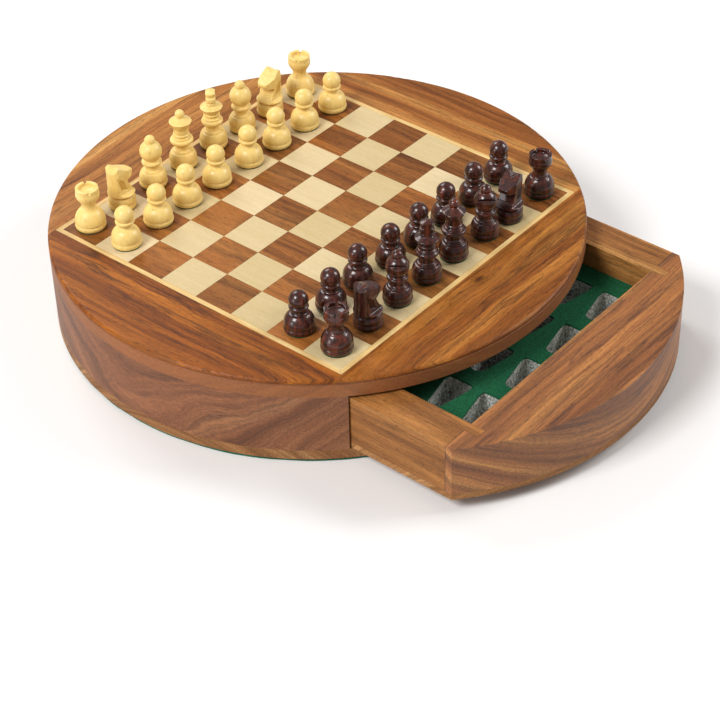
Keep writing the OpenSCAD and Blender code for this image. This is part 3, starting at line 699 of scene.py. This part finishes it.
# ---------------------------------------------------------------------------------------------
# The baize: thin green cloth glued under the case, trimmed with shears just inside its edge.
# ---------------------------------------------------------------------------------------------
def lathe(r, z, columns):
    """Points and faces of a section carried round the axis at the given angles, with a pole at each
    end. r has a row for each height of z, with one radius for all the angles or one for each."""
    rows, count = len(z), len(columns)
    heights = np.repeat(z[:, None], count, 1)
    points = np.stack([r * np.cos(columns), r * np.sin(columns), heights], -1)
    faces = ring_faces(rows, count)
    top_ring, poles = (rows - 1) * count, rows * count
    faces += [[poles, (k + 1) % count, k] for k in range(count)]
    faces += [[poles + 1, top_ring + k, top_ring + (k + 1) % count] for k in range(count)]
    points = np.concatenate([points.reshape(-1, 3), [[0, 0, z[0]], [0, 0, z[-1]]]])
    return points, faces


baize_r, baize_t = cad_box("baize")[1][[0, 2]]
around = np.linspace(0.0, 2 * math.pi, 361)[:-1]
# the shears cut about a third of a millimetre inside the baize's edge, and wander by a tenth
trim = 0.12 * soft_noise(chance, (len(around), 1), 3)[:, 0] - 0.35
profile_r = np.array([0.25, 0.6, 0.99, 1.0, 1.0, 0.99, 0.6, 0.25])
profile_z = np.array([0.0, 0.0, 0.0, 0.25, baize_t - 0.25, baize_t, baize_t, baize_t])
points, faces = lathe(profile_r[:, None] * (baize_r + np.minimum(trim, 0.0)), profile_z, around)
baize_cloth = felt_cloth("green_baize", "#0f4a34", "#17654a", "#267d5f", 0.6)
baize = paint(new_piece("baize_underside", points * millimetre, faces), baize_cloth)
merged(baize)
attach(baize, "case")
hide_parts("baize")

# ---------------------------------------------------------------------------------------------
# The men: turned on a lathe in boxwood for White and dark stained rosewood for Black, waxed and
# polished, with a felt disc under the foot. Each profile is worked out as the widest of its beads,
# bellies, waists and tapers at each height, softened by a tenth of a millimetre as sanding does.
# ---------------------------------------------------------------------------------------------
board_z = cad_box("light_squares")[1][2]
# heights above the board: the felt disc's top, and the wood's bottom, just over it
pad_top, wood_bottom = 0.5, 0.55
pad_inset = 0.6
# a rook's well, and half the angle of its notches at their floor and at their top edge
well_r, well_depth = 4.6, 2.2
notch_half, notch_edge = math.radians(7.7), math.radians(7.9)
notch_depth = 1.6


def bead(z, r, low, high, rim):
    """A disc whose rim is an arc of radius rim."""
    middle = (low + high) / 2
    arc = r - rim + np.sqrt(np.clip(rim ** 2 - (z - middle) ** 2, 0, None))
    return np.where((z >= low) & (z <= high), arc, 0.0)


def belly(z, r, height, curve, low, high):
    """An arc of radius curve that is widest, at r, at one height."""
    arc = r - curve + np.sqrt(np.clip(curve ** 2 - (z - height) ** 2, 0, None))
    return np.where((z >= low) & (z <= high), arc, 0.0)


def waist(z, r, low, high, curve):
    """A hollow that narrows to r, an arc of radius curve seen from outside."""
    middle = (low + high) / 2
    arc = r + curve - np.sqrt(np.clip(curve ** 2 - (z - middle) ** 2, 0, None))
    return np.where((z >= low) & (z <= high), arc, 0.0)


def taper(z, r0, z0, r1, z1):
    """A straight cone from r0 at z0 to r1 at z1."""
    return np.where((z >= z0) & (z <= z1), r0 + (r1 - r0) * (z - z0) / (z1 - z0), 0.0)


def ball(z, r, height):
    """A sphere's section."""
    return np.sqrt(np.clip(r ** 2 - (z - height) ** 2, 0, None))


def turned_profile(man, z):
    """The radius at each height of z, for each kind of man."""
    h, foot, head = man_sizes[man]
    top = {"pawn": 4.0, "rook": 4.2, "bishop": 4.2}.get(man, 4.4)
    groove = foot + 0.1 - np.sqrt(np.clip(0.25 - (z - top - 0.1) ** 2, 0, None))
    groove = np.where(np.abs(z - top - 0.1) < 0.5, groove, 99.0)
    parts = [np.minimum(bead(z, foot, wood_bottom, top, 2.6), groove)]
    if man == "pawn":
        parts += [belly(z, foot - 0.3, 5.2, 7.3, 4.0, 11.3), waist(z, 3.7, 11.2, h - 9.9, 2.4),
                  bead(z, 5.45, h - 10.4, h - 8.6, 1.3), ball(z, head, h - head)]
    elif man == "rook":
        cup = h - 4.2
        parts += [belly(z, foot - 0.2, 4.8, 9.8, 4.2, 12.0), waist(z, 4.1, 11.9, h - 8.4, 5.0),
                  belly(z, head, cup, 5.5, h - 8.5, h - 1.0),
                  taper(z, head - 0.25, cup - 0.5, head - 0.25, h)]
    elif man == "bishop":
        parts += [belly(z, foot - 0.2, 5.3, 7.1, 4.2, 10.0), bead(z, 5.5, 9.9, 11.1, 0.9),
                  waist(z, 4.0, 11.0, h - 18.2, 4.0), bead(z, 5.9, h - 18.3, h - 16.1, 1.4),
                  waist(z, 4.3, h - 16.2, h - 14.0, 1.6), ball(z, head, h - 10.2), ball(z, 3.1, h - 3.1)]
    elif man == "queen":
        rim = h - 7.2
        parts += [belly(z, foot - 0.2, 5.6, 7.5, 4.4, 10.2), bead(z, 5.6, 10.1, 11.5, 1.0),
                  waist(z, 3.9, 11.4, h - 21.1, 6.0), bead(z, 6.9, h - 21.2, h - 18.6, 1.6),
                  bead(z, 5.3, h - 18.7, h - 17.2, 0.95), bead(z, 4.9, h - 16.6, h - 15.3, 0.85),
                  taper(z, 4.3, h - 17.5, 4.3, h - 11.2), taper(z, 4.5, h - 11.7, head, rim),
                  taper(z, head - 0.3, rim - 0.1, 2.2, h - 4.6), ball(z, 2.8, h - 2.8)]
    else:
        rim = h - 10.9
        parts += [belly(z, foot - 0.2, 5.6, 7.4, 4.4, 10.2), bead(z, 5.6, 10.1, 11.5, 1.0),
                  waist(z, 4.1, 11.4, h - 21.9, 6.0), bead(z, 6.45, h - 22.0, h - 19.2, 1.7),
                  bead(z, 5.4, h - 19.3, h - 17.7, 1.0), bead(z, 4.9, h - 16.5, h - 15.1, 0.9),
                  taper(z, 4.4, h - 17.8, 4.4, h - 14.4), taper(z, 4.7, h - 14.6, head, rim),
                  taper(z, head - 0.3, rim - 0.1, 3.2, h - 9.3), taper(z, 3.2, h - 9.6, 3.2, h - 4.0),
                  taper(z, 3.3, h - 9.4, 3.85, h - 8.4), taper(z, 3.85, h - 8.5, 3.2, h - 7.5),
                  taper(z, 4.05, h - 6.9, 4.05, h - 4.3), taper(z, 3.0, h - 4.4, 3.85, h - 1.5),
                  belly(z, 3.85, h - 1.7, 5.0, h - 1.6, h - 0.9), taper(z, 3.6, h - 1.0, 0.6, h)]
    return np.max(parts, 0)


def softened_path(man, spacing=0.3):
    """The profile as points (radius, height) from the middle of the foot to the top, evenly spaced
    along the curve, after sanding: a weighted mean over the next few heights."""
    h, head = man_sizes[man][0], man_sizes[man][2]
    step, sanding, side_taps = 0.04, 0.1, 7
    z = np.arange(wood_bottom, h + 1e-9, step)
    r = turned_profile(man, z)
    taps = np.exp(-0.5 * (np.arange(-side_taps, side_taps + 1) * step / sanding) ** 2)
    padded = np.concatenate([np.full(side_taps, r[0]), r, np.full(side_taps, r[-1])])
    soft = np.convolve(padded, taps / taps.sum(), mode="valid")
    path = np.stack([soft, z], 1)
    foot_edge = 0.2
    path[0] = [soft[0] - foot_edge, wood_bottom]
    if man == "rook":
        # the rounded lip of the wall, and the well inside it
        lip, corner = 0.2, 0.06
        rim, floor = head - 0.25, h - well_depth
        wall = [[rim - corner, h - corner], [rim - lip, h], [well_r + lip, h], [well_r + corner, h - corner],
                [well_r, h - lip], [well_r, floor + lip], [well_r - lip, floor]]
        path = np.concatenate([path[z < h - lip], wall])
    length = np.concatenate([[0], np.cumsum(np.hypot(*np.diff(path, axis=0).T))])
    places = np.linspace(0, length[-1], int(length[-1] / spacing) + 1)
    return np.stack([np.interp(places, length, path[:, k]) for k in (0, 1)], 1)


def notched(points, h):
    """A rook's wall with four notches: within each notch the rim is lowered to its floor."""
    angle = np.arctan2(points[:, 1], points[:, 0])
    off = np.abs((angle + math.pi / 2) % (math.pi / 2) - math.pi / 4)
    inside = (off <= notch_half + 1e-4) & (np.hypot(points[:, 0], points[:, 1]) > well_r - 0.2)
    points[inside, 2] = np.minimum(points[inside, 2], h - notch_depth)
    return points


def turned_man(man):
    """Points and faces of one turned man in millimetres, standing at the origin."""
    h = man_sizes[man][0]
    columns = np.linspace(0, 2 * math.pi, 65)[:-1]
    if man == "rook":
        # columns at each notch's sides, so that they stand upright
        centres = math.pi / 4 + np.arange(4) * math.pi / 2
        edges = np.concatenate([[c - a, c + a] for c in centres for a in (notch_half, notch_edge)])
        columns = np.unique(np.round(np.concatenate([columns, edges]), 6))
    path = softened_path(man)
    points, faces = lathe(path[:, :1], path[:, 1], columns)
    if man == "rook":
        points = notched(points, h)
    if man == "king":
        # the cross is sawn flat on both sides
        cross_height, half_cross = 9.3, 2.8
        cross = points[:, 2] > h - cross_height
        points[cross, 1] = np.clip(points[cross, 1], -half_cross, half_cross)
    return points, faces


def turned_wood(name, tones, roughness, gloss, coat, speck):
    """Boxwood or rosewood, waxed and polished, so that it shines softly: fine growth lines that run up
    the man, and a few small specks, whose tone is speck times the wood's."""
    material, tree, shader = new_material(name, roughness, specular_ior_level=gloss, coat_weight=coat,
                                          coat_roughness=0.1)
    where = add_node(tree, "ShaderNodeTexCoord").outputs["Object"]
    # lines 2.6 mm apart across the man and 22 mm long, with finer ones in them, that wander over 17 mm
    wander = add_node(tree, "ShaderNodeTexNoise", {"Vector": where, "Scale": 60.0, "Detail": 1.0})
    scaled = add_node(tree, "ShaderNodeVectorMath", {0: where, 1: (380.0, 380.0, 45.0)}, operation="MULTIPLY")
    bent = add_node(tree, "ShaderNodeVectorMath", {0: wander.outputs["Color"], 1: (2.5, 2.5, 0.6),
                                                   2: scaled.outputs[0]}, operation="MULTIPLY_ADD")
    lines = add_node(tree, "ShaderNodeTexNoise", {"Vector": bent.outputs[0], "Scale": 1.0, "Detail": 4.0,
                                                  "Roughness": 0.62}).outputs["Fac"]
    tone = add_node(tree, "ShaderNodeValToRGB", {"Fac": lines}, stops=tuple(zip((0.3, 0.5, 0.7), tones)))
    specks = add_node(tree, "ShaderNodeTexNoise", {"Vector": where, "Scale": 420.0, "Detail": 2.0})
    colour = darkened(tree, tone.outputs[0], specks.outputs["Fac"], 0.74, 0.66, speck)
    surfaced(tree, shader, colour, lines, 0.12, 0.2)
    return material


# White's boxwood is only waxed, and Black's rosewood has a sharper polish over a darker wood
men_wood = (turned_wood("waxed_boxwood", ("#e8c571", "#eecd7b", "#f2d589"), 0.42, 0.4, 0.12, 0.78),
            turned_wood("polished_rosewood", ("#180806", "#3a170f", "#6a2e1c"), 0.4, 0.25, 0.7, 0.6))
pad_felt = felt_cloth("green_pad_felt", "#0a2f20", "#104630", "#1a5c42", 0.3)

# White's and Black's home rank along +X
ranks = (home_rank, ("rook", "knight", "bishop", "king", "queen", "bishop", "knight", "rook"))
# how far each man of those ranks is turned on its square, in degrees
rank_turn = ((10, 0, 40, 0, 42, 46, 186, -14), (-8, 0, 215, 132, 0, 222, 185, 20))
men_shapes = {man: turned_man(man) for man in man_sizes if man != "knight"}


def standing_place(node):
    """Where a man of the CAD model stands: the middle of the ring of its foot, in millimetres."""
    points = cad_points(node)
    ring = points[points[:, 2] < board_z + 0.1, :2]
    return np.round((ring.min(0) + ring.max(0)) / 2, 1)


def stood(points, place, turn):
    """Points turned about the man's own axis and put on the board, in metres."""
    c, s = math.cos(math.radians(turn)), math.sin(math.radians(turn))
    x = points[:, 0] * c - points[:, 1] * s + place[0]
    y = points[:, 0] * s + points[:, 1] * c + place[1]
    return np.stack([x, y, points[:, 2] + board_z], 1) * millimetre


def applied(piece, kind, **settings):
    """Adds a modifier to a piece and makes its result the piece's mesh."""
    modifier = piece.modifiers.new(kind.lower(), kind)
    for key, value in settings.items():
        setattr(modifier, key, value)
    graph = bpy.context.evaluated_depsgraph_get()
    mesh = bpy.data.meshes.new_from_object(piece.evaluated_get(graph))
    piece.modifiers.clear()
    piece.data = mesh


def mitre_cut(piece, place, turn):
    """The slanting saw cut in a bishop's mitre, one millimetre wide."""
    h = man_sizes["bishop"][0]
    low_x, low_z, slope = 4.4, h - 7.8, math.radians(52)
    box = np.array([[x, y, z] for x in (-1.0, 9.0) for y in (-10.0, 10.0) for z in (-0.5, 0.5)])
    tilted = np.stack([box[:, 0] * math.cos(slope) - box[:, 2] * math.sin(slope) + low_x, box[:, 1],
                       box[:, 0] * math.sin(slope) + box[:, 2] * math.cos(slope) + low_z], 1)
    sides = [[0, 1, 3, 2], [4, 6, 7, 5], [0, 4, 5, 1], [2, 3, 7, 6], [0, 2, 6, 4], [1, 5, 7, 3]]
    blade = new_piece("blade", stood(tilted, place, turn), sides, smooth=False)
    merged(blade)
    applied(piece, "BOOLEAN", operation="DIFFERENCE", object=blade, solver="EXACT")
    bpy.data.objects.remove(blade)


def unstood(points, place, turn):
    """Points on the board, in metres, back in the man's own frame in millimetres."""
    c, s = math.cos(math.radians(turn)), math.sin(math.radians(turn))
    x, y = points[:, 0] * mm_per_metre - place[0], points[:, 1] * mm_per_metre - place[1]
    return np.stack([x * c + y * s, y * c - x * s, points[:, 2] * mm_per_metre - board_z], 1)


# the saw cuts on both sides of a knight's mane: the middle of the rearmost one, as its X and how far
# it lies below the top, the step from each to the next, half its length and how much shorter the next
# one is, their lean, width and depth, and how far from the middle of the neck they start
mane_cuts, mane_lean = 4, math.radians(17)
mane_x, mane_drop, mane_step_x, mane_step_z = -4.6, 10.3, 1.2, -0.7
mane_half, mane_shorter = 4.5, 0.45
mane_width, mane_depth, mane_side = 0.3, 0.4, 3.5


def carved_knight(name, node, place, turn):
    """A knight: the CAD carving's own surface, remeshed at a fifth of a millimetre and sanded, with
    the saw cuts of its mane deepened."""
    shell = bmesh.new()
    shell.from_mesh(nodes[node].data)
    bmesh.ops.remove_doubles(shell, verts=shell.verts, dist=merge_gap)
    # without the felt disc
    pad_limit = (board_z + pad_top + 0.02) * millimetre
    loose = [v for v in shell.verts if v.co.z < pad_limit]
    bmesh.ops.delete(shell, geom=loose, context="VERTS")
    mesh = bpy.data.meshes.new(name)
    shell.to_mesh(mesh)
    shell.free()
    piece = add_to_scene(name, mesh)
    applied(piece, "REMESH", mode="VOXEL", voxel_size=0.2 * millimetre, use_smooth_shade=True)
    applied(piece, "SMOOTH", factor=0.5, iterations=1)
    points = np.empty(len(piece.data.vertices) * 3)
    piece.data.vertices.foreach_get("co", points)
    local = unstood(points.reshape(-1, 3), place, turn)
    h = man_sizes["knight"][0]
    for k in range(mane_cuts):
        x = local[:, 0] - mane_x - k * mane_step_x
        z = local[:, 2] - (h - mane_drop) - k * mane_step_z
        along = z * math.cos(mane_lean) - x * math.sin(mane_lean)
        off = x * math.cos(mane_lean) + z * math.sin(mane_lean)
        past = np.clip(np.abs(along) - (mane_half - mane_shorter * k), 0, None)
        on_side = np.abs(local[:, 1]) > mane_side
        near = np.exp(-(off ** 2 + past ** 2) / mane_width ** 2) * on_side
        local[:, 1] -= mane_depth * near * np.sign(local[:, 1])
    piece.data.vertices.foreach_set("co", stood(local, place, turn).ravel())
    return piece


def place_man(side, man, name, turn):
    """One man where it stands on the board, with its felt disc."""
    place = standing_place(name)
    if man == "knight":
        piece = carved_knight(f"{name}_carved", name, place, turn)
    else:
        points, faces = men_shapes[man]
        piece = new_piece(f"{name}_turned", stood(points, place, turn), faces)
        merged(piece)
        if man == "bishop":
            mitre_cut(piece, place, turn)
    paint(piece, men_wood[side])
    # the felt disc's edge is softened by a tenth of a millimetre
    pad_r = man_sizes[man][1] - pad_inset
    pad_rows = pad_r - np.array([[0.5], [0.06], [0.0], [0.0], [0.06], [0.5]])
    pad_z = np.array([0.0, 0.0, 0.1, pad_top - 0.1, pad_top, pad_top])
    pad_points, pad_faces = lathe(pad_rows, pad_z, np.linspace(0, 2 * math.pi, 49)[:-1])
    pad = paint(new_piece(f"{name}_pad", stood(pad_points, place, 0), pad_faces), pad_felt)
    merged(pad)
    for made, slot in ((piece, ("boxwood", "dark_wood")[side]), (pad, "baize")):
        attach(made, name)
    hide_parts(name)


for side, colour in enumerate(("white", "black")):
    for file in range(8):
        man = ranks[side][file]
        alone = man in ("king", "queen")
        name = f"{colour}_{man}" if alone else f"{colour}_{man}_{1 if file < 4 else 2}"
        place_man(side, man, name, rank_turn[side][file])
        place_man(side, "pawn", f"{colour}_pawn_{file + 1}", 0)
